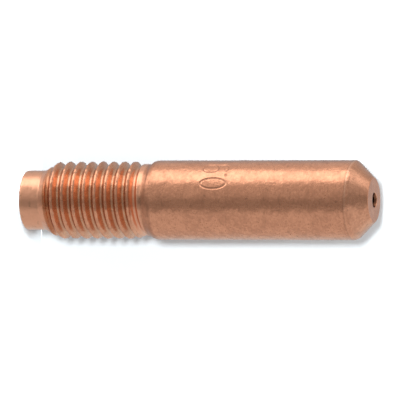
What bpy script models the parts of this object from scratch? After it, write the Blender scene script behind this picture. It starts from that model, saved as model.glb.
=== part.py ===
"""Contact tip of a wire-feed welding torch, turned from one copper bar.

The tip stands on its rear face, at the origin, with +Z along its axis to the nose.
From the rear up it has a plain pilot, a right-hand thread with a chamfered start,
a neck and a shallow notch where the thread runs out, a chamfered shoulder, the
barrel and a conical nose. A bore guides the wire through the whole length, from a
funnel in the rear face to a small mouth in the nose.

The blank is one closed outline, outside and bore together, turned by a Screw
modifier. The thread is a groove: its section runs along a helix, and a Boolean
cuts it from the blank.
"""

import math

import bmesh
import bpy
from mathutils import Vector

MM = 0.001
INCH = 25.4 * MM

# Body, with the barrel's surface a step outside the thread's crests
TIP_LENGTH = 1.125 * INCH
BARREL_STEP = 0.06 * MM

# Nose
NOSE_FACE_DIAMETER = 3.48 * MM
NOSE_SLOPE = math.radians(45)
NOSE_FACE_ROUNDING = 0.15 * MM
NOSE_BASE_ROUNDING = 0.20 * MM

# Wire bore
WIRE_DIAMETER = 0.9 * MM
WIRE_CLEARANCE = 0.25 * MM
BORE_EDGE_BREAK = 0.04 * MM
FUNNEL_MOUTH_DIAMETER = 2.6 * MM
FUNNEL_SLOPE = math.radians(30)

# Thread, 1/4-28
THREADS_PER_INCH = 28
THREAD_MAJOR_DIAMETER = 6.13 * MM
THREAD_FLANK_ANGLE = math.radians(30)
THREAD_CREST_WIDTH = 0.135 * MM
THREAD_ROOT_ROUNDING = 0.184 * MM
LEAD_IN_SLOPE = math.radians(28)

# Pilot, which enters the torch before the thread catches
PILOT_LENGTH = 1.586 * MM
PILOT_CLEARANCE = 0.23 * MM
REAR_EDGE_BREAK = 0.06 * MM

# Shoulder, neck and notch above the thread
SHOULDER_FOOT_HEIGHT = 10.30 * MM
SHOULDER_SLOPE = math.radians(36)
SHOULDER_ROUNDING = 0.60 * MM
NECK_DEPTH = 0.215 * MM
NECK_LENGTH = 0.74 * MM
NECK_SLOPE = math.radians(55)
NOTCH_STEP = 0.06 * MM
NOTCH_WIDTH = 0.12 * MM

# Run-out, where the threading tool is drawn away until it clears the barrel
RUN_OUT_LENGTH = 0.40 * MM
RUN_OUT_TURNS = 0.75
RUN_OUT_CLEARANCE = 0.05 * MM

# Facets
SIDES = 48
ROUNDING_STEPS = 3
WELD_DISTANCE = 0.001 * MM
SHARP_ANGLE = math.radians(25)

# Copper
COPPER_COLOUR = (0.72, 0.36, 0.22, 1.0)
COPPER_ROUGHNESS = 0.36

# Worked out from the sizes above
PITCH = INCH / THREADS_PER_INCH
MAJOR_RADIUS = THREAD_MAJOR_DIAMETER / 2
BARREL_RADIUS = MAJOR_RADIUS + BARREL_STEP
FACE_RADIUS = NOSE_FACE_DIAMETER / 2
NOSE_BASE_HEIGHT = TIP_LENGTH - (BARREL_RADIUS - FACE_RADIUS) / math.tan(NOSE_SLOPE)
BORE_RADIUS = (WIRE_DIAMETER + WIRE_CLEARANCE) / 2
FUNNEL_RADIUS = FUNNEL_MOUTH_DIAMETER / 2
FUNNEL_DEPTH = (FUNNEL_RADIUS - BORE_RADIUS) / math.tan(FUNNEL_SLOPE)
VEE_DEPTH = (PITCH - THREAD_CREST_WIDTH) / 2 / math.tan(THREAD_FLANK_ANGLE)
ROOT_RADIUS = MAJOR_RADIUS - VEE_DEPTH + THREAD_ROOT_ROUNDING * (1 / math.sin(THREAD_FLANK_ANGLE) - 1)
GROOVE_OVERCUT = THREAD_CREST_WIDTH / 4 / math.tan(THREAD_FLANK_ANGLE)
HELIX_RADIUS = MAJOR_RADIUS + GROOVE_OVERCUT
PILOT_RADIUS = ROOT_RADIUS - PILOT_CLEARANCE
LEAD_IN_TOP = PILOT_LENGTH + (MAJOR_RADIUS - PILOT_RADIUS) / math.tan(LEAD_IN_SLOPE)
NECK_RADIUS = MAJOR_RADIUS - NECK_DEPTH
NOTCH_RADIUS = NECK_RADIUS - NOTCH_STEP
NECK_TOP = SHOULDER_FOOT_HEIGHT - NOTCH_WIDTH
NECK_BOTTOM = NECK_TOP - NECK_LENGTH
THREAD_TOP = NECK_BOTTOM - NECK_DEPTH / math.tan(NECK_SLOPE)
SHOULDER_HEIGHT = SHOULDER_FOOT_HEIGHT + (BARREL_RADIUS - NOTCH_RADIUS) / math.tan(SHOULDER_SLOPE)


def rounded(before, corner, after, radius):
    """Arc that rounds an outline's corner, from the side of one neighbour to the other's."""
    to_before = (before - corner).normalized()
    to_after = (after - corner).normalized()
    half_angle = to_before.angle(to_after) / 2
    centre = corner + (to_before + to_after).normalized() * radius / math.sin(half_angle)
    start = (corner + to_before * radius / math.tan(half_angle) - centre).normalized()
    end = (corner + to_after * radius / math.tan(half_angle) - centre).normalized()
    shares = [step / ROUNDING_STEPS for step in range(ROUNDING_STEPS + 1)]
    return [centre + start.slerp(end, share) * radius for share in shares]


def blank_outline():
    """Half section of the blank as (radius, height): down the outside, then up the bore."""
    sharp = 0.0
    corners = [
        (BORE_RADIUS + BORE_EDGE_BREAK, TIP_LENGTH, sharp),
        (FACE_RADIUS, TIP_LENGTH, NOSE_FACE_ROUNDING),
        (BARREL_RADIUS, NOSE_BASE_HEIGHT, NOSE_BASE_ROUNDING),
        (BARREL_RADIUS, SHOULDER_HEIGHT, SHOULDER_ROUNDING),
        (NOTCH_RADIUS, SHOULDER_FOOT_HEIGHT, sharp),
        (NOTCH_RADIUS, SHOULDER_FOOT_HEIGHT - NOTCH_WIDTH / 2, sharp),
        (NECK_RADIUS, NECK_TOP, sharp),
        (NECK_RADIUS, NECK_BOTTOM, sharp),
        (MAJOR_RADIUS, THREAD_TOP, sharp),
        (MAJOR_RADIUS, LEAD_IN_TOP, sharp),
        (PILOT_RADIUS, PILOT_LENGTH, sharp),
        (PILOT_RADIUS, REAR_EDGE_BREAK, sharp),
        (PILOT_RADIUS - REAR_EDGE_BREAK, 0.0, sharp),
        (FUNNEL_RADIUS, 0.0, sharp),
        (BORE_RADIUS, FUNNEL_DEPTH, sharp),
        (BORE_RADIUS, TIP_LENGTH - BORE_EDGE_BREAK, sharp),
    ]
    places = [Vector((radius, height)) for radius, height, _ in corners]
    outline = []
    for index, (_, _, rounding) in enumerate(corners):
        if rounding > sharp:
            after = places[(index + 1) % len(places)]
            outline += rounded(places[index - 1], places[index], after, rounding)
        else:
            outline.append(places[index])
    return outline


def groove_section():
    """Closed section of the thread groove as (outwards, upwards) from its helix.

    It is a vee with a rounded root, and its mouth lies a little outside the crests.
    """
    mouth_half = (VEE_DEPTH + GROOVE_OVERCUT) * math.tan(THREAD_FLANK_ANGLE)
    upper = Vector((0.0, mouth_half))
    lower = Vector((0.0, -mouth_half))
    root = Vector((-VEE_DEPTH - GROOVE_OVERCUT, 0.0))
    return [upper] + rounded(upper, root, lower, THREAD_ROOT_ROUNDING) + [lower]


def new_object(name, data, collection):
    """Object with the given mesh or curve, linked to a collection."""
    part = bpy.data.objects.new(name, data)
    collection.objects.link(part)
    return part


def copper():
    """Plain copper, bright from the lathe."""
    material = bpy.data.materials.new("copper")
    material.use_nodes = True
    shader = material.node_tree.nodes["Principled BSDF"]
    shader.inputs["Base Color"].default_value = COPPER_COLOUR
    shader.inputs["Metallic"].default_value = 1.0
    shader.inputs["Roughness"].default_value = COPPER_ROUGHNESS
    material.diffuse_color = COPPER_COLOUR
    return material


def turned_blank(collection):
    """The bar turned to its outline and bored, before it is threaded."""
    outline = blank_outline()
    mesh = bpy.data.meshes.new("contact_tip")
    vertices = [(point.x, 0.0, point.y) for point in outline]
    edges = [(index, (index + 1) % len(outline)) for index in range(len(outline))]
    mesh.from_pydata(vertices, edges, [])
    blank = new_object("contact_tip", mesh, collection)
    turn = blank.modifiers.new("turn", "SCREW")
    turn.axis = "Z"
    turn.angle = 2 * math.pi
    turn.steps = SIDES
    turn.render_steps = SIDES
    turn.use_merge_vertices = True
    turn.merge_threshold = WELD_DISTANCE
    return blank


def groove_curve(collection):
    """Helix of the thread groove, with its section, as a curve.

    It starts in the air round the pilot and keeps its full depth to a little below
    the shoulder. From there it rises on and moves outwards, faster and faster.
    """
    section = bpy.data.curves.new("groove_section", "CURVE")
    section.dimensions = "2D"
    outline = groove_section()
    spline = section.splines.new("POLY")
    spline.points.add(len(outline) - 1)
    for point, place in zip(spline.points, outline):
        point.co = (place.x, place.y, 0.0, 1.0)
    spline.use_cyclic_u = True

    helix = bpy.data.curves.new("thread_groove", "CURVE")
    helix.dimensions = "3D"
    helix.twist_mode = "Z_UP"
    helix.bevel_mode = "OBJECT"
    helix.bevel_object = new_object("groove_section", section, collection)
    helix.use_fill_caps = True

    full_depth_end = SHOULDER_FOOT_HEIGHT - RUN_OUT_LENGTH
    steps_before = math.ceil((full_depth_end - PILOT_LENGTH) / PITCH * SIDES)
    steps_after = math.ceil(RUN_OUT_TURNS * SIDES)
    run_out_lift = BARREL_RADIUS + RUN_OUT_CLEARANCE - ROOT_RADIUS
    path = helix.splines.new("POLY")
    path.points.add(steps_before + steps_after)
    for index, point in enumerate(path.points):
        turns = (index - steps_before + 0.5) / SIDES
        lift = run_out_lift * max(0.0, turns / RUN_OUT_TURNS) ** 3
        angle = turns * 2 * math.pi
        around = Vector((math.cos(angle), math.sin(angle), 0.0)) * (HELIX_RADIUS + lift)
        point.co = (around.x, around.y, full_depth_end + turns * PITCH, 1.0)
    return new_object("thread_groove", helix, collection)


def finished_mesh(source):
    """Closed mesh of an object as its modifiers and settings leave it, welded."""
    depsgraph = bpy.context.evaluated_depsgraph_get()
    mesh = bpy.data.meshes.new_from_object(source.evaluated_get(depsgraph))
    shape = bmesh.new()
    shape.from_mesh(mesh)
    bmesh.ops.remove_doubles(shape, verts=shape.verts, dist=WELD_DISTANCE)
    bmesh.ops.recalc_face_normals(shape, faces=shape.faces)
    shape.to_mesh(mesh)
    shape.free()
    return mesh


def as_cutter(curve, collection):
    """Hidden cutter in a curve's place."""
    cutter = new_object(curve.name + "_cutter", finished_mesh(curve), collection)
    cutter.matrix_world = curve.matrix_world
    bpy.data.objects.remove(curve.data.bevel_object)
    bpy.data.objects.remove(curve)
    cutter.hide_render = True
    cutter.display_type = "WIRE"
    return cutter


def thread(blank, cutter):
    """Cut the groove from the blank, and shade the tip smooth between its edges."""
    cut = blank.modifiers.new("thread", "BOOLEAN")
    cut.operation = "DIFFERENCE"
    cut.solver = "EXACT"
    cut.object = cutter
    threaded = finished_mesh(blank)
    blank.modifiers.clear()
    blank.data = threaded
    threaded.shade_smooth()
    threaded.set_sharp_from_angle(angle=SHARP_ANGLE)


def build():
    """Make the contact tip in the open scene."""
    for existing in list(bpy.data.objects):
        bpy.data.objects.remove(existing)
    parts = bpy.data.collections.new("welding_contact_tip")
    cutters = bpy.data.collections.new("cutters")
    bpy.context.scene.collection.children.link(parts)
    bpy.context.scene.collection.children.link(cutters)
    tip = turned_blank(parts)
    tip.data.materials.append(copper())
    thread(tip, as_cutter(groove_curve(cutters), cutters))


build()
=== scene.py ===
# %% [markdown]
# # A copper contact tip
# The contact tip guides the wire of a welding torch and hands it the current. It is one
# piece of copper bar: turned, drilled and threaded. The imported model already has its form
# and size, so this file gives it the surface that a closer look finds: thread crests
# rounded by the tool, small dents, a stamped wire size, a turned ring on the nose and
# copper that has been tumbled clean.

# %% Frame
import math

import bmesh
import bpy
import numpy as np
from mathutils import Matrix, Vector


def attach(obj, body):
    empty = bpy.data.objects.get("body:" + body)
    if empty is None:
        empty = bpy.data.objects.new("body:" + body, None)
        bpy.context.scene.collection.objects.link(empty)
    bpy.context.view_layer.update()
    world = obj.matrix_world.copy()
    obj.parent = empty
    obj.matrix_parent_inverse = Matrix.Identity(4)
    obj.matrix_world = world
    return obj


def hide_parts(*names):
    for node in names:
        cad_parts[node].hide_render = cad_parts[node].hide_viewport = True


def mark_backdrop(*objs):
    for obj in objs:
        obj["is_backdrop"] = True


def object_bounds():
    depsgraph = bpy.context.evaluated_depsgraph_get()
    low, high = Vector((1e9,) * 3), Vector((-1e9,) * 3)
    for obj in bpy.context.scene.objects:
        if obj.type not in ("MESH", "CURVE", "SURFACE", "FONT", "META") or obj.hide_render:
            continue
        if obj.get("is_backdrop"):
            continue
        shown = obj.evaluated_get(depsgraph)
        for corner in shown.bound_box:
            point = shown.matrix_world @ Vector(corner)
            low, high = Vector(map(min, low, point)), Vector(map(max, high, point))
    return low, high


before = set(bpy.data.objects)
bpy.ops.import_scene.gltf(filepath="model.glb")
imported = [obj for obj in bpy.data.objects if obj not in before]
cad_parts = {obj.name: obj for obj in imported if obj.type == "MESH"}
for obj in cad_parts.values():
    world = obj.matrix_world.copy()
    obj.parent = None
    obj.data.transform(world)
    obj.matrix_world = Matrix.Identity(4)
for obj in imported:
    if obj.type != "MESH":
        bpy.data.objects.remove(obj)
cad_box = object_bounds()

MM = 0.001
TURN = 2 * np.pi
scene = bpy.context.scene
scene.view_settings.view_transform = "Standard"
print("packed model:", [round(size / MM, 3) for size in cad_box[1] - cad_box[0]], "mm")

# %% [markdown]
# ## The sizes of the tip
# The tip stands on its rear face, with the nose up. Its length and the barrel's radius
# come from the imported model, and the other sizes are those that a drawing of the part
# would give. The thread has 28 turns to the inch. Above it a short neck leads to the
# shoulder, which slopes out to the barrel.

# %% Sizes
TIP_LENGTH = cad_box[1].z
BARREL_RADIUS = cad_box[1].x

NOSE_FACE_RADIUS = 1.74 * MM
NOSE_BASE_HEIGHT = TIP_LENGTH - (BARREL_RADIUS - NOSE_FACE_RADIUS)

BORE_RADIUS = 0.575 * MM
FUNNEL_RADIUS = 1.3 * MM
FUNNEL_HALF_ANGLE = math.radians(30)
FUNNEL_DEPTH = (FUNNEL_RADIUS - BORE_RADIUS) / math.tan(FUNNEL_HALF_ANGLE)

PITCH = 25.4 * MM / 28
MAJOR_RADIUS = BARREL_RADIUS - 0.06 * MM
CREST_WIDTH = 0.135 * MM
FLANK_ANGLE = math.radians(30)
ROOT_ROUNDING = 0.184 * MM
VEE_DEPTH = (PITCH - CREST_WIDTH) / 2 / math.tan(FLANK_ANGLE)
ROOT_RADIUS = MAJOR_RADIUS - VEE_DEPTH + ROOT_ROUNDING * (1 / math.sin(FLANK_ANGLE) - 1)

PILOT_RADIUS = ROOT_RADIUS - 0.23 * MM
PILOT_LENGTH = 1.586 * MM
REAR_EDGE = 0.06 * MM
LEAD_IN_ANGLE = math.radians(31)
LEAD_IN_TOP = PILOT_LENGTH + (MAJOR_RADIUS - PILOT_RADIUS) / math.tan(LEAD_IN_ANGLE)

SHOULDER_FOOT = 10.30 * MM
SHOULDER_FOOT_DEPTH = 0.06 * MM
SHOULDER_SLOPE = math.tan(math.radians(36))
NECK_DEPTH = 0.215 * MM
NECK_RADIUS = MAJOR_RADIUS - NECK_DEPTH
NECK_BOTTOM = SHOULDER_FOOT - 0.86 * MM
NECK_CHAMFER_ANGLE = math.radians(55)
THREAD_TOP = NECK_BOTTOM - NECK_DEPTH / math.tan(NECK_CHAMFER_ANGLE)
FULL_DEPTH_END = SHOULDER_FOOT - 0.40 * MM
RUN_OUT_TURNS = 0.75
RUN_OUT_LIFT = BARREL_RADIUS + 0.05 * MM - ROOT_RADIUS
print("thread pitch %.3f mm, depth %.3f mm" % (PITCH / MM, (MAJOR_RADIUS - ROOT_RADIUS) / MM))

# %% [markdown]
# ## The outside as a formula
# The outside of the tip is a radius for each height and angle. A lathe makes the plain
# part of it, which doesn't depend on the angle. The thread is what remains outside the
# path of the threading tool, so its radius is the smaller one of two: that of the turned
# bar and that of the groove. Two surfaces that meet this way have a sharp edge, and a
# smooth minimum rounds it as the tool and the tumbling drum did.

# %% Steps, bells and waves
WAVE_COUNT = 40


def smooth_step(value, start, end):
    """0 before start, 1 after end, and 3t^2 - 2t^3 between them."""
    share = np.clip((value - start) / (end - start), 0.0, 1.0)
    return share * share * (3 - 2 * share)


def band(value, start, full, fading, end):
    """1 from full to fading, 0 before start and after end, with smooth steps between."""
    return smooth_step(value, start, full) * (1 - smooth_step(value, fading, end))


def bell(value, centre, width, power=2):
    """1 at the centre, and e to the minus (distance over width) to the power elsewhere."""
    return np.exp(-((value - centre) / width) ** power)


def smooth_min(first, second, width):
    """The smaller value, with a parabola over the width where the two are close."""
    share = np.clip(0.5 + 0.5 * (second - first) / width, 0.0, 1.0)
    return second + (first - second) * share - width * share * (1 - share)


def waves(x, y, z, length, seed):
    """Even random relief about 1 high: the sum of plane waves of one length, each with
    its own direction and phase, over the square root of half their number."""
    draw = np.random.default_rng(seed)
    directions = draw.normal(size=(WAVE_COUNT, 3))
    directions *= TURN / length / np.linalg.norm(directions, axis=1, keepdims=True)
    phases = draw.uniform(0, TURN, WAVE_COUNT)
    total = np.zeros(np.shape(x))
    for (along_x, along_y, along_z), phase in zip(directions, phases):
        total += np.cos(x * along_x + y * along_y + z * along_z + phase)
    return total / math.sqrt(WAVE_COUNT / 2)


# %% Turned outline
OUTLINE = np.array([
    (0.0, PILOT_RADIUS),
    (PILOT_LENGTH, PILOT_RADIUS),
    (LEAD_IN_TOP, MAJOR_RADIUS),
    (THREAD_TOP, MAJOR_RADIUS),
    (NECK_BOTTOM, NECK_RADIUS),
])
FILLET = 0.16 * MM
SHOULDER_SOFTNESS = 0.20 * MM


def turned_radius(height):
    """Radius of the turned bar below the nose: straight lines between the corners of the
    outline up to the neck, then the shoulder's slope, which a fillet joins to it, and the
    barrel where the slope has reached it."""
    lines = np.interp(height, OUTLINE[:, 0], OUTLINE[:, 1])
    slope = NECK_RADIUS - SHOULDER_FOOT_DEPTH + (height - SHOULDER_FOOT) * SHOULDER_SLOPE
    filleted = -smooth_min(-lines, -slope, FILLET)
    return smooth_min(filleted, BARREL_RADIUS, SHOULDER_SOFTNESS)


# %% Thread groove
def vee(distance):
    """Radius of the thread groove at a distance up or down from its root: two flanks, and
    an arc that touches both."""
    tip = MAJOR_RADIUS - VEE_DEPTH
    flanks = tip + np.abs(distance) / math.tan(FLANK_ANGLE)
    inside = np.sqrt(np.maximum(ROOT_ROUNDING**2 - distance**2, 0.0))
    arc = tip + ROOT_ROUNDING / math.sin(FLANK_ANGLE) - inside
    return np.where(np.abs(distance) < ROOT_ROUNDING * math.cos(FLANK_ANGLE), arc, flanks)


def groove_radius(height, angle):
    """Radius of the nearest two turns of the groove. The root rises by one pitch in each
    turn. In its last three quarters of a turn the groove moves out by the cube of the
    turn, until it clears the barrel."""
    turns_here = angle / TURN
    below = np.floor((height - FULL_DEPTH_END) / PITCH - turns_here)
    radii = []
    for turns in (turns_here + below, turns_here + below + 1):
        lift = RUN_OUT_LIFT * np.maximum(turns / RUN_OUT_TURNS, 0.0) ** 3
        radii.append(vee(height - FULL_DEPTH_END - turns * PITCH) + lift)
    return np.minimum(*radii)


# %% [markdown]
# ## The nose
# The cone was turned after the barrel. Between them runs a narrow ring at a lower slope,
# cut a little off centre, so it is wider on one side than on the other. Each of the
# three is a straight line in the section, and the smooth minimum joins them.

# %% Nose outline
RING_SLOPE = math.tan(math.radians(22))
RING_REACH = 0.13 * MM
RING_OFF_CENTRE = 0.07 * MM
RING_WIDE_SIDE = math.radians(315)
NOSE_SOFTNESS = 0.025 * MM


def ring_reach(angle):
    """How far the ring starts below the cone: its mean reach, and a swing by the cosine
    of the angle from its wide side."""
    return RING_REACH + RING_OFF_CENTRE * np.cos(angle - RING_WIDE_SIDE)


def nose_radius(height, angle):
    """Smallest of barrel, ring and cone."""
    ring = BARREL_RADIUS + (NOSE_BASE_HEIGHT - ring_reach(angle) - height) * RING_SLOPE
    cone = BARREL_RADIUS + (NOSE_BASE_HEIGHT - height)
    return smooth_min(smooth_min(ring, BARREL_RADIUS, NOSE_SOFTNESS), cone, NOSE_SOFTNESS)


# %% [markdown]
# ## The stamp
# A wire size is stamped round the barrel with a thin punch, its digits standing along
# the tip. A stamp is a groove at a set distance from the lines of a digit, so each digit
# is written as the distance to a few segments and arcs, on the barrel rolled out flat.

# %% Digits
STAMP_HEIGHT = 16.25 * MM
DIGIT_TALL = 2.05 * MM
DIGIT_WIDE = 0.90 * MM
STROKE_HALF = 0.075 * MM
NINE_HEAD_STRAIGHT = 0.35 * MM
NINE_STROKE_THINNER = 0.15 * STROKE_HALF
POINT_SIZE = 0.07 * MM
ZERO_ANGLE = math.radians(245)
POINT_ANGLE = math.radians(231)
NINE_ANGLE = math.radians(217)


def to_segment(x, y, start, end):
    """Distance from each point to a straight segment."""
    along = np.subtract(end, start)
    share = ((x - start[0]) * along[0] + (y - start[1]) * along[1]) / max(along @ along, 1e-12)
    share = np.clip(share, 0.0, 1.0)
    return np.hypot(x - start[0] - share * along[0], y - start[1] - share * along[1])


def zero_line(x, y):
    """Distance to an ellipse: how far its level is from 1, over the level's slope plus a
    fifth of the least slope on the ellipse, which keeps the middle finite."""
    across = DIGIT_WIDE / 2
    along = DIGIT_TALL / 2
    level = np.hypot(x / across, y / along) + 1e-6
    slope = np.hypot(x / across**2, y / along**2) / level + 0.2 / along
    return np.abs(level - 1) / slope


def nine_line(x, y):
    """Distance to a ring at the head and a tail that curves in at the foot."""
    half = DIGIT_WIDE / 2
    head = DIGIT_TALL / 2 - half
    ring = np.abs(to_segment(x, y, (0.0, head), (0.0, head - NINE_HEAD_STRAIGHT)) - half)
    tail = to_segment(x, y, (half, head), (half, half - DIGIT_TALL / 2))
    hook_y = y - (half - DIGIT_TALL / 2)
    hook_stop = -0.7 * half
    hook_end = to_segment(x, hook_y, (hook_stop, hook_stop), (hook_stop, hook_stop))
    hook = np.abs(np.hypot(x, hook_y) - half)
    hook = np.where((hook_y < 0) & (x > hook_stop), hook, hook_end)
    return np.minimum(np.minimum(ring, tail), hook)


def stamp_line(height, angle):
    """Distance to the nearest line of the stamp. Its digits read towards smaller angles,
    with their heads to the thread."""
    y = STAMP_HEIGHT - height
    zero = zero_line((ZERO_ANGLE - angle) * BARREL_RADIUS, y)
    nine = nine_line((NINE_ANGLE - angle) * BARREL_RADIUS, y) + NINE_STROKE_THINNER
    point_x = (POINT_ANGLE - angle) * BARREL_RADIUS
    point = np.maximum(np.hypot(point_x, y + DIGIT_TALL / 2 - POINT_SIZE) - POINT_SIZE, 0.0)
    return np.minimum(np.minimum(zero, nine), point)


# %% Struck surface
STAMP_DEPTH = 0.038 * MM
LIP_HEIGHT = 0.002 * MM
BLOW_ANGLE = math.radians(189)
BLOW_DEPTH = 0.028 * MM
BLOW_HALF_LENGTH = 0.9 * MM
BLOW_HALF_WIDTH = 0.5 * MM


def stamp_relief(height, angle):
    """Groove under the lines of the stamp, a low lip beside them, and the flat dent that
    the blow of the punch left further round."""
    line = stamp_line(height, angle)
    groove = -STAMP_DEPTH * (1 - smooth_step(line, 0.3 * STROKE_HALF, STROKE_HALF))
    lip = LIP_HEIGHT * bell(line, 1.6 * STROKE_HALF, 0.6 * STROKE_HALF)
    aside = (angle - BLOW_ANGLE) * BARREL_RADIUS
    blow = bell(height, STAMP_HEIGHT, BLOW_HALF_LENGTH) * bell(aside, 0.0, BLOW_HALF_WIDTH)
    return groove + lip - BLOW_DEPTH * blow


# %% [markdown]
# ## Wear
# The drum leaves the whole surface slightly uneven: broad shallow dents on the plain
# stretches, and nicks on the crests. Random plane waves give relief of one size, with
# no seam anywhere round the tip.

# %% Worn outside
NICK_SIZE = 0.55 * MM
NICK_DEPTH = 0.010 * MM
BROAD_DENT_SIZE = 1.6 * MM
BROAD_DENT_DEPTH = 0.0030 * MM
SMALL_DENT_SIZE = 0.7 * MM
SMALL_DENT_DEPTH = 0.0012 * MM
CREST_SOFTNESS = 0.09 * MM
STAMP_BAND = np.array([14.0, 14.6, 18.0, 18.6]) * MM


def outside_radius(height, angle):
    """Radius of the finished tip from the rear edge to the nose's face."""
    x = np.cos(angle) * BARREL_RADIUS
    y = np.sin(angle) * BARREL_RADIUS
    nicked = band(height, LEAD_IN_TOP - 1 * MM, LEAD_IN_TOP, THREAD_TOP, NECK_BOTTOM)
    nicks = NICK_DEPTH * waves(x, y, height, NICK_SIZE, seed=4)
    plain = turned_radius(height)
    threaded = smooth_min(plain + nicks * nicked, groove_radius(height, angle), CREST_SOFTNESS)
    in_thread = band(height, PILOT_LENGTH, PILOT_LENGTH + 0.1 * MM,
                     SHOULDER_FOOT + 0.3 * MM, SHOULDER_FOOT + 0.5 * MM)
    radius = plain * (1 - in_thread) + threaded * in_thread
    radius = np.where(height > STAMP_HEIGHT, nose_radius(height, angle), radius)
    near_stamp = band(height, *STAMP_BAND)
    radius = radius + stamp_relief(height, angle) * near_stamp
    broad = BROAD_DENT_DEPTH * waves(x, y, height, BROAD_DENT_SIZE, seed=7)
    small = SMALL_DENT_DEPTH * waves(x, y, height, SMALL_DENT_SIZE, seed=8)
    return radius + broad + small


# %% [markdown]
# ## Rows and columns
# The mesh is a grid. Its columns run along the tip, closer together on the side with
# the stamp. Its rows run round the tip: level ones on the plain stretches, and along the
# thread rows that climb with the helix, so that every crest and root has its own row. A
# climbing row ends one pitch higher than it began, which is where another row starts, so
# the last column is joined to the first one a pitch of rows further up. Climbing rows are
# cut off level at both ends of the thread: points past the end move onto it, and the
# points that then coincide are welded.

# %% Columns
COLUMNS = 228
CROWDING = 0.5
CROWDED_ANGLE = math.radians(232)
even = np.arange(COLUMNS) / COLUMNS * TURN
angles = np.sort(np.mod(even - CROWDING * np.sin(even - CROWDED_ANGLE), TURN))
print("columns %.2f to %.2f degrees apart" % tuple(
    np.degrees([np.diff(angles).min(), np.diff(angles).max()])))

# %% Climbing rows
HALF_GROOVE = np.array([0.06, 0.12, 0.18, 0.255, 0.33, 0.375, 0.415]) * MM
PHASES = np.concatenate([-HALF_GROOVE[::-1], [0.0], HALF_GROOVE, [PITCH / 2]])
HELIX_START = PILOT_LENGTH + 0.02 * MM
HELIX_END = THREAD_TOP - 0.1 * MM


def climbing_heights():
    """Heights of the climbing rows at each column: root height at the angle, plus the
    row's place in its pitch, cut off at both ends of the thread."""
    first_turn = math.floor((HELIX_START - FULL_DEPTH_END) / PITCH) - 1
    turns = np.arange(first_turn, math.ceil((HELIX_END - FULL_DEPTH_END) / PITCH) + 1)
    at_zero = (FULL_DEPTH_END + turns[:, None] * PITCH + PHASES[None, :]).ravel()
    heights = at_zero[:, None] + PITCH * angles[None, :] / TURN
    return np.clip(heights, HELIX_START, HELIX_END)


# %% Level rows
PILOT_END = PILOT_LENGTH - 0.02 * MM
NECK_START = HELIX_END + 0.04 * MM
SHOULDER_END = 10.95 * MM
STAMP_START = 14.8 * MM
STAMP_END = 17.75 * MM
RING_START = NOSE_BASE_HEIGHT - 0.4 * MM
RING_END = NOSE_BASE_HEIGHT + 0.25 * MM
CONE_END = TIP_LENGTH - 0.1 * MM


def stretch(start, end, spacing):
    """Even level heights from start up to, but without, end."""
    return np.linspace(start, end, max(2, round((end - start) / spacing)), endpoint=False)


lower_heights = np.append(stretch(REAR_EDGE, PILOT_END, 0.14 * MM), PILOT_END)
climbing = climbing_heights()
upper_heights = np.concatenate([
    stretch(NECK_START, SHOULDER_END, 0.042 * MM),
    stretch(SHOULDER_END, STAMP_START, 0.18 * MM),
    stretch(STAMP_START, STAMP_END, 0.05 * MM),
    stretch(STAMP_END, RING_START, 0.25 * MM),
    stretch(RING_START, RING_END, 0.03 * MM),
    stretch(RING_END, CONE_END, 0.1 * MM),
])
print(len(lower_heights), "level rows,", len(climbing), "climbing rows,",
      len(upper_heights), "level rows")

# %% [markdown]
# ## Ends and bore
# The nose's face, the mouth of the bore, the bore and the funnel at the rear aren't
# heights any more, so there each row has its own radius and height. The face has faint
# rings from facing it off. The drill left a burr on one side of the mouth, and the wire,
# which always leans the same way, has worn the other side and nicked its edge.

# %% Nose face
FACE_ROUNDING = 0.15 * MM
ROUNDING_ROWS = 6
FACE_ROWS = 14
FACE_SINK = 0.0015 * MM
FACE_RING_HEIGHT = 0.0012 * MM
FACE_RING_HALF_STEP = 0.11 * MM
MOUTH_BREAK = 0.05 * MM
MOUTH_WEAR = 0.15 * MM
MOUTH_RIM = BORE_RADIUS + MOUTH_WEAR + 2 * MOUTH_BREAK


def level_rows(profile):
    """Rows of constant radius and height, as two arrays of rows by columns."""
    rows = np.array(profile)
    ones = np.ones((1, COLUMNS))
    return rows[:, :1] * ones, rows[:, 1:] * ones


def nose_face():
    """The rounded edge of the face, an arc of 45 degrees, then the face to the mouth,
    its height a cosine of the radius."""
    bend = np.radians(np.linspace(45, 90, ROUNDING_ROWS))
    centre_radius = NOSE_FACE_RADIUS - FACE_ROUNDING * math.tan(math.radians(22.5))
    centre_height = TIP_LENGTH - FACE_ROUNDING
    edge = np.stack([centre_radius + FACE_ROUNDING * np.cos(bend),
                     centre_height + FACE_ROUNDING * np.sin(bend)], 1)
    flat = np.linspace(centre_radius - 0.06 * MM, MOUTH_RIM, FACE_ROWS)
    rings = FACE_RING_HEIGHT * np.cos(flat / FACE_RING_HALF_STEP * np.pi)
    face = np.stack([flat, TIP_LENGTH - FACE_SINK + rings], 1)
    return level_rows(np.concatenate([edge, face]))


# %% Mouth
MOUTH_ROWS = 5
MOUTH_SINK = 0.002 * MM
WEAR_ANGLE = math.radians(90)
WEAR_WIDTH = 0.8
NICK_ANGLE = math.radians(106)
NICK_WIDTH = 0.25
MOUTH_NICK = 0.05 * MM
BURR_ANGLE = math.radians(270)
BURR_WIDTH = 0.9
MOUTH_BURR = 0.21 * MM
# The size of each wave of the edge, how many of them go round, and the phase.
EDGE_WAVES = ((0.012 * MM, 3, 1.0), (0.008 * MM, 7, 0.0))


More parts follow.
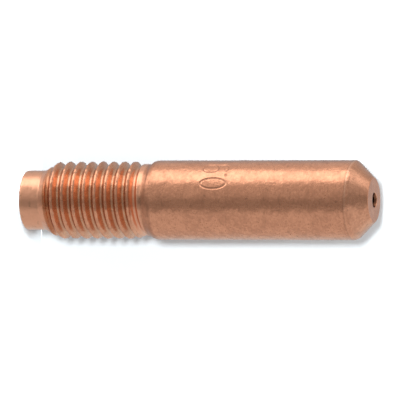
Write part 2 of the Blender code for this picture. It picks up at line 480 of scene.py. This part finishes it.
def mouth():
    """The edge of the mouth as a quarter turn into the bore. A burr moves it inwards
    round one angle, wear and a nick move it outwards round two others, and two cosines
    of the angle make it uneven."""
    bend = np.radians(np.linspace(15, 90, MOUTH_ROWS))[:, None]
    burr = MOUTH_BURR * bell(angles, BURR_ANGLE, BURR_WIDTH)
    nick = MOUTH_NICK * bell(angles, NICK_ANGLE, NICK_WIDTH)
    wear = MOUTH_WEAR * bell(angles, WEAR_ANGLE, WEAR_WIDTH)
    uneven = sum(size * np.cos(count * angles + phase) for size, count, phase in EDGE_WAVES)
    inward = np.sin(bend) * (burr - nick + uneven)[None, :] - wear[None, :]
    radius = BORE_RADIUS + MOUTH_BREAK * (1 - np.sin(bend)) - inward
    height = TIP_LENGTH - MOUTH_SINK - MOUTH_BREAK * (1 - np.cos(bend)) * np.ones((1, COLUMNS))
    return radius, height


# %% Bore, funnel and rear face
BORE_DEPTHS = np.array([0.16, 0.3, 0.6, 1.0, 2.0, 4.0, 8.0, 14.0, 20.0]) * MM
BORE_END_HEIGHTS = np.array([3.0, 0.1]) * MM + FUNNEL_DEPTH
FUNNEL_SHARES = (0.0, 0.2, 0.4, 0.6, 0.8, 0.97)
REAR_FACE_ROWS = 6
EDGE_SHARES = ((0.7, 0.1), (0.3, 0.3), (0.1, 0.7))


def bore():
    """Down the bore, out along the funnel, over the rear face and round its edge."""
    profile = [(BORE_RADIUS, TIP_LENGTH - depth) for depth in BORE_DEPTHS]
    profile += [(BORE_RADIUS, height) for height in BORE_END_HEIGHTS]
    profile += [(BORE_RADIUS + (FUNNEL_RADIUS - BORE_RADIUS) * share, FUNNEL_DEPTH * (1 - share))
                for share in FUNNEL_SHARES]
    profile.append((FUNNEL_RADIUS + 0.02 * MM, 0.0))
    face_start = FUNNEL_RADIUS + 0.12 * MM
    face_end = PILOT_RADIUS - REAR_EDGE - 0.02 * MM
    profile += [(radius, 0.0) for radius in np.linspace(face_start, face_end, REAR_FACE_ROWS)]
    profile += [(PILOT_RADIUS - inward * REAR_EDGE, upward * REAR_EDGE)
                for inward, upward in EDGE_SHARES]
    return level_rows(profile)


# %% [markdown]
# ## The mesh
# All rows are stacked from the rear edge up to the nose and back down the bore, and the
# last is joined to the first, so the mesh closes on itself.

# %% Faces of the grid
def quads(row_count, first, row_step):
    """Faces between neighbouring rows of a block that starts at a vertex. At the seam the
    last column meets the first one row_step rows further up."""
    row, column = np.meshgrid(np.arange(row_count - 1), np.arange(COLUMNS), indexing="ij")
    beyond = column == COLUMNS - 1
    next_column = np.where(beyond, 0, column + 1)
    shift = np.where(beyond, row_step, 0)
    low = np.minimum(row + shift, row_count - 1)
    high = np.minimum(row + 1 + shift, row_count - 1)
    corners = [row * COLUMNS + column, low * COLUMNS + next_column,
               high * COLUMNS + next_column, (row + 1) * COLUMNS + column]
    return first + np.stack(corners, -1).reshape(-1, 4)


def bridge(lower_row, upper_row):
    """Faces between two rows of vertices that may lie in different blocks."""
    column = np.arange(COLUMNS)
    after = np.roll(column, -1)
    corners = [lower_row + column, lower_row + after, upper_row + after, upper_row + column]
    return np.stack(corners, -1)


# %% Grid to mesh
def outside_block(heights):
    """Radius and height of rows on the outside."""
    return outside_radius(heights, angles[None, :] * np.ones_like(heights)), heights


def tip_blocks():
    """The blocks of rows in order, each with its radii, heights and step at the seam."""
    ones = np.ones((1, COLUMNS))
    return [
        (outside_block(lower_heights[:, None] * ones), 0),
        (outside_block(climbing), len(PHASES)),
        (outside_block(upper_heights[:, None] * ones), 0),
        (nose_face(), 0),
        (mouth(), 0),
        (bore(), 0),
    ]


def tip_mesh():
    """Stack the blocks, join each to the next and the last to the first."""
    radii, heights, faces, starts = [], [], [], []
    first = 0
    for (radius, height), row_step in tip_blocks():
        radii.append(radius)
        heights.append(height)
        faces.append(quads(len(radius), first, row_step))
        starts.append((first, first + (len(radius) - 1) * COLUMNS))
        first += radius.size
    for (_, top), (bottom, _) in zip(starts, starts[1:] + starts[:1]):
        faces.append(bridge(top, bottom))
    radius = np.concatenate(radii)
    height = np.concatenate(heights)
    places = np.stack([radius * np.cos(angles), radius * np.sin(angles), height], -1)
    mesh = bpy.data.meshes.new("contact_tip_surface")
    mesh.from_pydata(places.reshape(-1, 3), [], np.concatenate(faces))
    return mesh


# %% Closed surface
WELD = 0.0002 * MM
SHARP_ANGLE = math.radians(50)


def weld(mesh):
    """Merge the points that coincide and turn the faces outwards."""
    shape = bmesh.new()
    shape.from_mesh(mesh)
    bmesh.ops.remove_doubles(shape, verts=shape.verts, dist=WELD)
    bmesh.ops.recalc_face_normals(shape, faces=shape.faces)
    open_edges = sum(not edge.is_manifold for edge in shape.edges)
    print("volume %.2f mm3, %d open edges" % (shape.calc_volume(signed=True) / MM**3, open_edges))
    shape.to_mesh(mesh)
    shape.free()


surface = tip_mesh()
weld(surface)
surface.shade_smooth()
surface.set_sharp_from_angle(angle=SHARP_ANGLE)
tip = bpy.data.objects.new("copper_contact_tip", surface)
scene.collection.objects.link(tip)
print("triangles:", sum(len(face.vertices) - 2 for face in surface.polygons))

# %% [markdown]
# ## Marks for the finish
# The finish isn't the same everywhere, and part of it is painted light. The groove has a
# paler copper tone that stands in for fewer bounces of light, a painted reflection. The
# first flank of the thread is painted dark as shade on the side facing the camera, and the
# bore has browned. The pilot and the neck are painted paler as light, and the shoulder and
# a spot at the neck are painted darker as shade. Each vertex keeps a number from 0 to 1 for
# each of these, and others for the stamp and the ring, whose bright edge is partly a
# painted highlight. The material reads them, so that the colour follows the form to the vertex.

# %% Places of the vertices
def read_places(mesh):
    """Vertex places as three arrays."""
    places = np.empty(len(mesh.vertices) * 3)
    mesh.vertices.foreach_get("co", places)
    return places.reshape(-1, 3).T


def store(mesh, name, values):
    """Keep one number for each vertex, for the material to read."""
    mark = mesh.attributes.new(name, "FLOAT", "POINT")
    mark.data.foreach_set("value", values.astype(np.float32))


x, y, z = read_places(surface)
around = np.mod(np.arctan2(y, x), TURN)
radius = np.hypot(x, y)
outside = (radius > PILOT_RADIUS - 0.1 * MM) & (z > REAR_EDGE / 2)

# %% Marks of thread, pilot and neck
FIRST_GROOVE_TURN = 9

# Painted reflection: the groove mark blends the copper towards a paler tone that stands in for fewer
# bounces of light inside the groove.
depth = np.clip((MAJOR_RADIUS - radius) / (MAJOR_RADIUS - ROOT_RADIUS), 0, 1)
thread = band(z, PILOT_LENGTH + 0.4 * MM, PILOT_LENGTH + 0.8 * MM,
              NECK_BOTTOM - 0.1 * MM, NECK_BOTTOM + 0.1 * MM)
store(surface, "groove", depth * thread * outside)

# Painted shade: the first flank of the thread, on the side facing the camera, is painted a dark burnt
# orange.
above_root = z - (FULL_DEPTH_END - FIRST_GROOVE_TURN * PITCH + PITCH * around / TURN)
first_flank = band(above_root, -0.42 * MM, -0.34 * MM, 0.06 * MM, 0.14 * MM)
side_facing_camera = band(around, *np.radians([190, 262, 340, 358]))
store(surface, "first_groove_painted_shade", first_flank * side_facing_camera * outside)

# Painted light: the pilot and the neck are blended towards pale copper, standing in for the brighter,
# paler light that falls on them.
pilot = 1 - smooth_step(z, PILOT_LENGTH + 0.2 * MM, PILOT_LENGTH + 0.7 * MM)
neck = band(z, NECK_BOTTOM - 0.1 * MM, NECK_BOTTOM, SHOULDER_FOOT - 0.15 * MM, SHOULDER_FOOT)
store(surface, "pale", pilot + neck)

# %% Marks of shoulder, stamp, nose and bore
NECK_SHADE_ANGLE = math.radians(270)
NECK_SHADE_HALF_ANGLE = math.radians(7)
NECK_SHADE_HEIGHT = SHOULDER_FOOT - 0.10 * MM
NECK_SHADE_HALF_LENGTH = 0.17 * MM
RING_HIGHLIGHT_ANGLE = math.radians(215)

# Painted shade: the shoulder mark darkens the shoulder towards dull copper, and also roughens it.
shoulder_rough_and_painted_shade = band(z, SHOULDER_FOOT - 0.10 * MM, SHOULDER_FOOT + 0.05 * MM,
                SHOULDER_FOOT + 0.55 * MM, SHOULDER_FOOT + 0.85 * MM)
store(surface, "shoulder_rough_and_painted_shade", shoulder_rough_and_painted_shade * outside)
# Painted shade: a dark spot on the neck, on the side facing the camera.
neck_painted_shade = bell(around, NECK_SHADE_ANGLE, NECK_SHADE_HALF_ANGLE, 4) * bell(z, NECK_SHADE_HEIGHT, NECK_SHADE_HALF_LENGTH, 4)
store(surface, "neck_painted_shade", neck_painted_shade * outside)

stamped = 1 - smooth_step(stamp_line(z, around), 0.4 * STROKE_HALF, 1.1 * STROKE_HALF)
store(surface, "stamp", stamped * outside)

above_ring = z - (NOSE_BASE_HEIGHT - ring_reach(around))
# The ring's pale edge is partly burnished copper and partly a painted highlight, brighter on the side
# where light falls on it.
painted_highlight_side = 0.25 + 0.75 * smooth_step(np.cos(around - RING_HIGHLIGHT_ANGLE), 0.2, 0.8)
store(surface, "ring", bell(above_ring, 0.04 * MM, 0.05 * MM) * outside * painted_highlight_side)
store(surface, "ring_foot", bell(above_ring, -0.06 * MM, 0.05 * MM) * outside)

in_bore = radius < FUNNEL_RADIUS + 0.01 * MM
store(surface, "inside", in_bore * smooth_step(TIP_LENGTH - z, 0.02 * MM, 0.06 * MM))
print("marks:", ", ".join(mark.name for mark in surface.attributes if mark.data_type == "FLOAT"))

# %% [markdown]
# ## Shader maths as Python
# A material is a graph of nodes, which is slow to read when it is written node by node.
# A small class wraps a socket, so that adding or multiplying two wraps adds the Math
# node and gives back its result.

# %% Node helpers
class Value:
    """A number that varies over the surface, held by one output socket."""

    def __init__(self, graph, socket):
        self.graph = graph
        self.socket = socket

    def math(self, operation, first, second):
        """A Math node for an operation on two numbers."""
        return self.graph.node("ShaderNodeMath", {"operation": operation}, {0: first, 1: second})

    def __add__(self, other):
        return self.math("ADD", self, other)

    def __radd__(self, other):
        return self.math("ADD", other, self)

    def __sub__(self, other):
        return self.math("SUBTRACT", self, other)

    def __rsub__(self, other):
        return self.math("SUBTRACT", other, self)

    def __mul__(self, other):
        return self.math("MULTIPLY", self, other)

    def ramp(self, start, end):
        """A smooth change from 0 to 1 as this goes from start to end."""
        return self.graph.node("ShaderNodeMapRange", {"interpolation_type": "SMOOTHSTEP"},
                               {"Value": self, "From Min": start, "From Max": end})


class Graph:
    """The node tree of a material or world."""

    def __init__(self, owner):
        owner.use_nodes = True
        self.tree = owner.node_tree
        self.tree.nodes.clear()

    def node(self, kind, settings=None, inputs=None, output=0):
        """Add a node: its settings first, then a value or a link for each socket."""
        node = self.tree.nodes.new(kind)
        for name, setting in (settings or {}).items():
            setattr(node, name, setting)
        for name, value in (inputs or {}).items():
            if isinstance(value, Value):
                self.tree.links.new(value.socket, node.inputs[name])
            else:
                node.inputs[name].default_value = value
        return Value(self, node.outputs[output]) if node.outputs else None

    def mark(self, name):
        """The number that each vertex keeps under a name."""
        return self.node("ShaderNodeAttribute", {"attribute_name": name}, output=2)

    def axis(self, vector, index):
        """One of the three numbers of a vector."""
        return self.node("ShaderNodeSeparateXYZ", {}, {0: vector}, output=index)

    def blend(self, share, first, second):
        """Mix two colours by a share from 0 to 1."""
        return self.node(
            "ShaderNodeMix", {"data_type": "RGBA"}, {0: share, 6: first, 7: second}, output=2)

    def noise(self, place, size, stretch=(1, 1, 1), offset=(0, 0, 0)):
        """Noise from 0 to 1 whose patches are about that size in metres."""
        placed = self.node("ShaderNodeMapping", {}, {
            "Vector": place, "Location": offset, "Scale": tuple(part / size for part in stretch)})
        return self.node("ShaderNodeTexNoise", {}, {
            "Vector": placed, "Scale": 1.0, "Detail": 2.0, "Roughness": 0.5})


# %% [markdown]
# ## Copper
# Turned copper comes off the lathe bright and is then tumbled, which leaves a fine
# hammered grain that breaks up every reflection. Handling has dulled it in patches and
# left a few dark specks. All of it varies in colour and roughness together, since a
# dull spot is both darker and rougher. The marks of the mesh then shift the colour: dark
# in the stamp and under the ring, brown in the bore, a paler groove as a painted
# reflection, painted shade on the first flank, the shoulder and a spot at the neck, a paler
# pilot and neck as painted light, and a ring's edge that is partly burnished and partly a
# painted highlight.

# %% Colours of copper
COPPER = (0.97, 0.455, 0.272, 1)
# Dull copper: real dull patches, and painted shade on the shoulder.
DULL_AND_SHADED_COPPER = (0.58, 0.262, 0.155, 1)
PALE_COPPER = (1.0, 0.56, 0.37, 1)
# Paler groove tone: a painted reflection, standing in for fewer bounces of light in the groove.
GROOVE_PAINTED_REFLECTION = (0.84, 0.46, 0.28, 1)
# Dark burnt orange: painted shade on the thread's first flank.
FIRST_GROOVE_SHADE_COPPER = (0.60, 0.17, 0.055, 1)
BORE_BROWN = (0.16, 0.06, 0.028, 1)
# Dark oxide in the specks, streaks, stamp and under the ring, and painted shade in the spot on the
# neck.
DARK_OXIDE_AND_SHADE = (0.13, 0.065, 0.045, 1)
EDGE_TINT = (0.78, 0.88, 0.93, 1)


def copper_colour(graph, dull_and_painted_shade, specks, streaks, height):
    """Copper's colour, shifted by one share after another: some shares are its own tones, some are
    painted light and shade.
    """
    pale = graph.mark("pale")
    cone = (height.ramp(NOSE_BASE_HEIGHT - 0.2 * MM, NOSE_BASE_HEIGHT + 0.2 * MM)
            - height.ramp(TIP_LENGTH - 0.15 * MM, TIP_LENGTH - 0.05 * MM))
    # The pale mark is painted light on the pilot and the neck; the cone is blended a little towards
    # pale copper as well.
    colour = graph.blend(pale * 0.30 + cone * 0.20, COPPER, PALE_COPPER)
    for share, tone in (
            (graph.mark("groove"), GROOVE_PAINTED_REFLECTION),
            (graph.mark("first_groove_painted_shade") * 0.85, FIRST_GROOVE_SHADE_COPPER),
            (dull_and_painted_shade * (1 - pale * 0.8), DULL_AND_SHADED_COPPER),
            (specks * 0.35 + streaks * 0.18, DARK_OXIDE_AND_SHADE),
            (graph.mark("stamp") * 0.35, DARK_OXIDE_AND_SHADE),
            (graph.mark("ring") * 0.8, PALE_COPPER),
            (graph.mark("ring_foot") * (0.2 + specks * 0.6), DARK_OXIDE_AND_SHADE),
            (graph.mark("neck_painted_shade") * 0.45, DARK_OXIDE_AND_SHADE),
            (graph.mark("inside") * 0.9, BORE_BROWN)):
        colour = graph.blend(share, colour, tone)
    return colour


# %% Copper material
BUMP_DEPTH = 0.012 * MM


def copper():
    """Tumbled copper: a grain of 0.2 mm, patches and clouds above it in size, turning
    marks drawn out round the tip, specks, and short dark streaks."""
    material = bpy.data.materials.new("tumbled_copper")
    graph = Graph(material)
    place = graph.node("ShaderNodeTexCoord", output=3)
    height = graph.axis(place, 2)
    grain = graph.noise(place, 0.22 * MM)
    patches = graph.noise(place, 0.55 * MM, offset=(7, 3, 1))
    clouds = graph.noise(place, 1.8 * MM, offset=(2, 9, 4))
    turning = graph.noise(place, 0.05 * MM, stretch=(0.05, 0.05, 1))
    specks = graph.noise(place, 0.30 * MM, offset=(4, 4, 8)).ramp(0.66, 0.80)
    streaks = graph.noise(place, 0.20 * MM, stretch=(0.35, 0.35, 1), offset=(1, 6, 2)).ramp(0.56, 0.74)

    # Real dullness from handling and the drum, and on the shoulder also painted shade.
    dull_and_painted_shade = (patches.ramp(0.35, 0.68) * 0.22 + clouds.ramp(0.38, 0.64) * 0.16
            + grain.ramp(0.34, 0.66) * 0.26 + turning.ramp(0.4, 0.7) * 0.10
            + graph.mark("shoulder_rough_and_painted_shade") * 0.6)
    roughness = 0.23 + dull_and_painted_shade * 0.14 + graph.mark("stamp") * 0.12 + graph.mark("pale") * 0.04
    relief = grain * 0.75 + patches * 2.4 + turning * 0.12
    bump = graph.node("ShaderNodeBump", {}, {
        "Strength": 1.0, "Distance": BUMP_DEPTH, "Height": relief})
    shader = graph.node("ShaderNodeBsdfPrincipled", {}, {
        "Base Color": copper_colour(graph, dull_and_painted_shade, specks, streaks, height), "Metallic": 1.0,
        "Roughness": roughness, "Specular Tint": EDGE_TINT, "Normal": bump})
    graph.node("ShaderNodeOutputMaterial", {}, {"Surface": shader})
    return material


surface.materials.append(copper())
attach(tip, "root")
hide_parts("contact_tip")

# %% [markdown]
# ## Floor and backdrop
# The tip stands on a pale floor. A pale card close behind it takes the place of the
# table that it lies on when it is photographed from above, and catches its shadow.
# Both only receive light: they cast none and take none away, and the card is seen from
# its front alone.

# %% Paper
PALE = (0.67, 0.735, 0.77, 1)
GLOW = (0.80, 1.0, 1.08, 1)
GLOW_STRENGTH = 0.015


def pale_material():
    """White paper that is lit, with a small part of its white its own. Its back is clear."""
    material = bpy.data.materials.new("pale_paper")
    graph = Graph(material)
    paper = graph.node("ShaderNodeBsdfDiffuse", {}, {"Color": PALE})
    light = graph.node("ShaderNodeEmission", {}, {"Color": GLOW, "Strength": GLOW_STRENGTH})
    both = graph.node("ShaderNodeAddShader", {}, {0: paper, 1: light})
    clear = graph.node("ShaderNodeBsdfTransparent")
    back = graph.node("ShaderNodeNewGeometry", output=6)
    shown = graph.node("ShaderNodeMixShader", {}, {0: back, 1: both, 2: clear})
    graph.node("ShaderNodeOutputMaterial", {}, {"Surface": shown})
    return material


# %% Floor and card
FLOOR_RADIUS = 120 * MM
FLOOR_CORNERS = 48
FLOOR_DROP = 0.005 * MM
CARD_GAP = 0.02 * MM
CARD_HALF_WIDTH = 14 * MM
CARD_TOP = 44 * MM


def stage_piece(name, corners, material):
    """One flat face that the camera sees, and nothing else does."""
    mesh = bpy.data.meshes.new(name)
    mesh.from_pydata(corners, [], [list(range(len(corners)))])
    mesh.materials.append(material)
    piece = bpy.data.objects.new(name, mesh)
    scene.collection.objects.link(piece)
    piece.visible_diffuse = False
    piece.visible_glossy = False
    piece.visible_shadow = False
    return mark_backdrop(piece)


rim = [(FLOOR_RADIUS * math.cos(turn), FLOOR_RADIUS * math.sin(turn), -FLOOR_DROP)
       for turn in np.linspace(0, TURN, FLOOR_CORNERS, endpoint=False)]
card_y = BARREL_RADIUS + CARD_GAP
card = [(CARD_HALF_WIDTH, card_y, CARD_TOP), (-CARD_HALF_WIDTH, card_y, CARD_TOP),
        (-CARD_HALF_WIDTH, card_y, 0.0), (CARD_HALF_WIDTH, card_y, 0.0)]
paper = pale_material()
stage_piece("floor", rim, paper)
stage_piece("backdrop", card, paper)

# %% [markdown]
# ## The tent
# A polished round bar shows its studio as stripes along it. Here the studio is a pale
# tent with a dark gap where the camera looks in. The tent is the world, and its light
# depends on the direction alone: sideways is +X, forward is away from the camera, and
# upward is the nose's side. The camera sees plain white in its place, as behind the tip
# in the photograph. Each line below adds one panel of the tent over the ones before.

# %% Tent
WHITE = (1.0, 1.0, 1.0, 1)
UPPER_TENT = (0.66, 0.66, 0.66, 1)
LOWER_TENT = (0.60, 0.61, 0.62, 1)
REAR_TENT = (0.60, 0.61, 0.62, 1)
LOW_REAR_TENT = (0.44, 0.50, 0.54, 1)
FLOOR_SIDE_TENT = (0.72, 0.79, 0.81, 1)
NOSE_EDGE_TENT = (0.50, 0.50, 0.49, 1)
END_TENT = (0.64, 0.64, 0.64, 1)
UPPER_SHADE = (0.445, 0.44, 0.435, 1)
LOWER_SHADE = (0.555, 0.555, 0.56, 1)
NOSE_SHADE = (0.62, 0.62, 0.62, 1)
LOW_FRONT_SHADE = (0.88, 0.87, 0.86, 1)
GAP = (0.262, 0.260, 0.255, 1)


def rear_light(graph, sideways, forward, upward):
    """The half of the tent behind the tip, brighter where it comes down to the table."""
    light = graph.blend(sideways.ramp(-0.3, 0.3), UPPER_TENT, LOWER_TENT)
    rear = graph.blend(upward.ramp(-0.15, 0.15), LOW_REAR_TENT, REAR_TENT)
    light = graph.blend(forward.ramp(0.45, 0.97), light, rear)
    floor_side = forward.ramp(0.40, 0.78) * sideways.ramp(0.05, 0.35)
    light = graph.blend(floor_side, light, FLOOR_SIDE_TENT)
    nose_edge = forward.ramp(0.15, 0.45) * upward.ramp(0.0, 0.3) * sideways.ramp(-0.2, -0.5)
    return graph.blend(nose_edge, light, NOSE_EDGE_TENT)


def front_shade(graph, sideways, upward):
    """The half on the camera's side, greyer, with a brighter panel low down."""
    lower_shade = graph.blend(upward.ramp(0.1, 0.8), LOWER_SHADE, NOSE_SHADE)
    shade = graph.blend(sideways.ramp(-0.3, 0.3), UPPER_SHADE, lower_shade)
    low_front = upward.ramp(-0.38, -0.54) * sideways.ramp(-0.20, -0.38)
    return graph.blend(low_front, shade, LOW_FRONT_SHADE)


def tent():
    """White for the camera. For all else the two halves, the end below the tip, and the
    gap between two edges that lean towards the nose and swing aside at the end."""
    world = bpy.data.worlds.new("tent")
    scene.world = world
    graph = Graph(world)
    direction = graph.node("ShaderNodeTexCoord", output=0)
    sideways, forward, upward = (graph.axis(direction, index) for index in range(3))
    light = rear_light(graph, sideways, forward, upward)
    shade = front_shade(graph, sideways, upward)
    end = upward.ramp(-0.5, -0.9)
    front = (forward - end * 0.4).ramp(0.15, -0.10)
    light = graph.blend(front * sideways.ramp(-0.82, -0.74), light, shade)
    light = graph.blend(end, light, END_TENT)
    near_edge = (sideways + upward * 0.135 + end * 0.23).ramp(-0.32, 0.04)
    far_edge = (sideways + upward * 0.16 + end * 0.38).ramp(0.52, 0.36)
    light = graph.blend(front * near_edge * far_edge, light, GAP)
    seen = graph.node("ShaderNodeLightPath", output=0)
    background = graph.node("ShaderNodeBackground", {}, {"Color": graph.blend(seen, light, WHITE)})
    graph.node("ShaderNodeOutputWorld", {}, {"Surface": background})


tent()

# %% [markdown]
# ## Lamps on the metal
# A wide soft box above the tip makes the bright stripe along the barrel. A dimmer box
# carries it on over the cone and the face, and another one over the shoulder and the
# rear-facing flanks of the thread.

# %% Soft boxes
LAMP_DISTANCE = 400 * MM
ALONG_TIP = (0.0, 0.0, 1.0)


def area_lamp(name, towards, along, width, length, radiance):
    """Flat lamp in a direction from the tip, facing it, with its length along another.

    Its power is radiance times pi times its area, as for any flat even source.
    """
    data = bpy.data.lights.new(name, "AREA")
    data.shape = "RECTANGLE"
    data.size = width
    data.size_y = length
    data.energy = radiance * math.pi * width * length
    lamp = bpy.data.objects.new(name, data)
    scene.collection.objects.link(lamp)
    facing = np.array(towards) / np.linalg.norm(towards)
    side = np.cross(along, facing)
    side /= np.linalg.norm(side)
    axes = np.stack([side, np.cross(facing, side), facing], 1)
    lamp.location = facing * LAMP_DISTANCE + np.array([0, 0, TIP_LENGTH / 2])
    lamp.rotation_mode = "QUATERNION"
    lamp.rotation_quaternion = Matrix(axes.tolist()).to_quaternion()
    lamp.visible_camera = False
    return lamp


area_lamp("soft_box", (-0.903, -0.255, -0.342), ALONG_TIP,
          width=272 * MM, length=700 * MM, radiance=1.12)
area_lamp("end_box", (-0.66, -0.25, -0.70), (0.12, 0.60, -0.235),
          width=80 * MM, length=300 * MM, radiance=0.35)
area_lamp("nose_box", (-0.67, 0.17, 0.72), (-0.13, 0.29, -0.15),
          width=300 * MM, length=165 * MM, radiance=0.42)

# %% [markdown]
# ## Camera
# The photograph looks square at the lying tip from above, turned 18 degrees towards its
# nose. The tip stands here, so the camera is 18 degrees above the floor and rolled until
# the tip's axis runs across the picture.

# %% Camera
VIEW_TILT = math.radians(18.1)
VIEW_DISTANCE = 471.4 * MM
PICTURE_PIXELS = 400
PIXELS_PER_MM = 12.72
AIM_HEIGHT = 14.3 * MM
AXIS_DROP_PIXELS = 0.11

towards_camera = np.array([0.0, -math.cos(VIEW_TILT), math.sin(VIEW_TILT)])
picture_right = np.array([0.0, math.sin(VIEW_TILT), math.cos(VIEW_TILT)])
picture_up = np.array([-1.0, 0.0, 0.0])


def photo_camera():
    """Long lens whose picture is as wide as its pixels over the scale at the aim."""
    data = bpy.data.cameras.new("photo_camera")
    data.sensor_width = 36.0
    data.lens = data.sensor_width * VIEW_DISTANCE / (PICTURE_PIXELS / PIXELS_PER_MM * MM)
    data.shift_y = AXIS_DROP_PIXELS / PICTURE_PIXELS
    data.clip_start = 10 * MM
    data.clip_end = 5.0
    camera = bpy.data.objects.new("photo_camera", data)
    scene.collection.objects.link(camera)
    camera.location = np.array([0, 0, AIM_HEIGHT]) + towards_camera * VIEW_DISTANCE
    axes = np.stack([picture_right, picture_up, towards_camera], 1)
    camera.rotation_mode = "QUATERNION"
    camera.rotation_quaternion = Matrix(axes.tolist()).to_quaternion()
    scene.camera = camera


photo_camera()

# %% [markdown]
# ## Lamps on the paper
# Three lamps light the paper to white and leave the tip's soft shadow on it. One beside
# the camera lights the card, and its shadow falls a little below and beyond the tip. One
# overhead lights the floor, and one beside the tip fills the upper side of the floor.
# The metal doesn't show them.

# %% Paper lamps
beside_camera = towards_camera - 0.15 * picture_right + 0.13 * picture_up
overhead = (0.06, -0.30, 1.0)
beside_tip = (-0.75, 0.0, 0.85)
paper_lamps = [
    area_lamp("paper_lamp", beside_camera, picture_up,
              width=60 * MM, length=60 * MM, radiance=122.0),
    area_lamp("floor_lamp", overhead, picture_up,
              width=25 * MM, length=90 * MM, radiance=212.0),
    area_lamp("side_lamp", beside_tip, ALONG_TIP,
              width=40 * MM, length=40 * MM, radiance=600.0),
]
for lamp in paper_lamps:
    lamp.visible_glossy = False
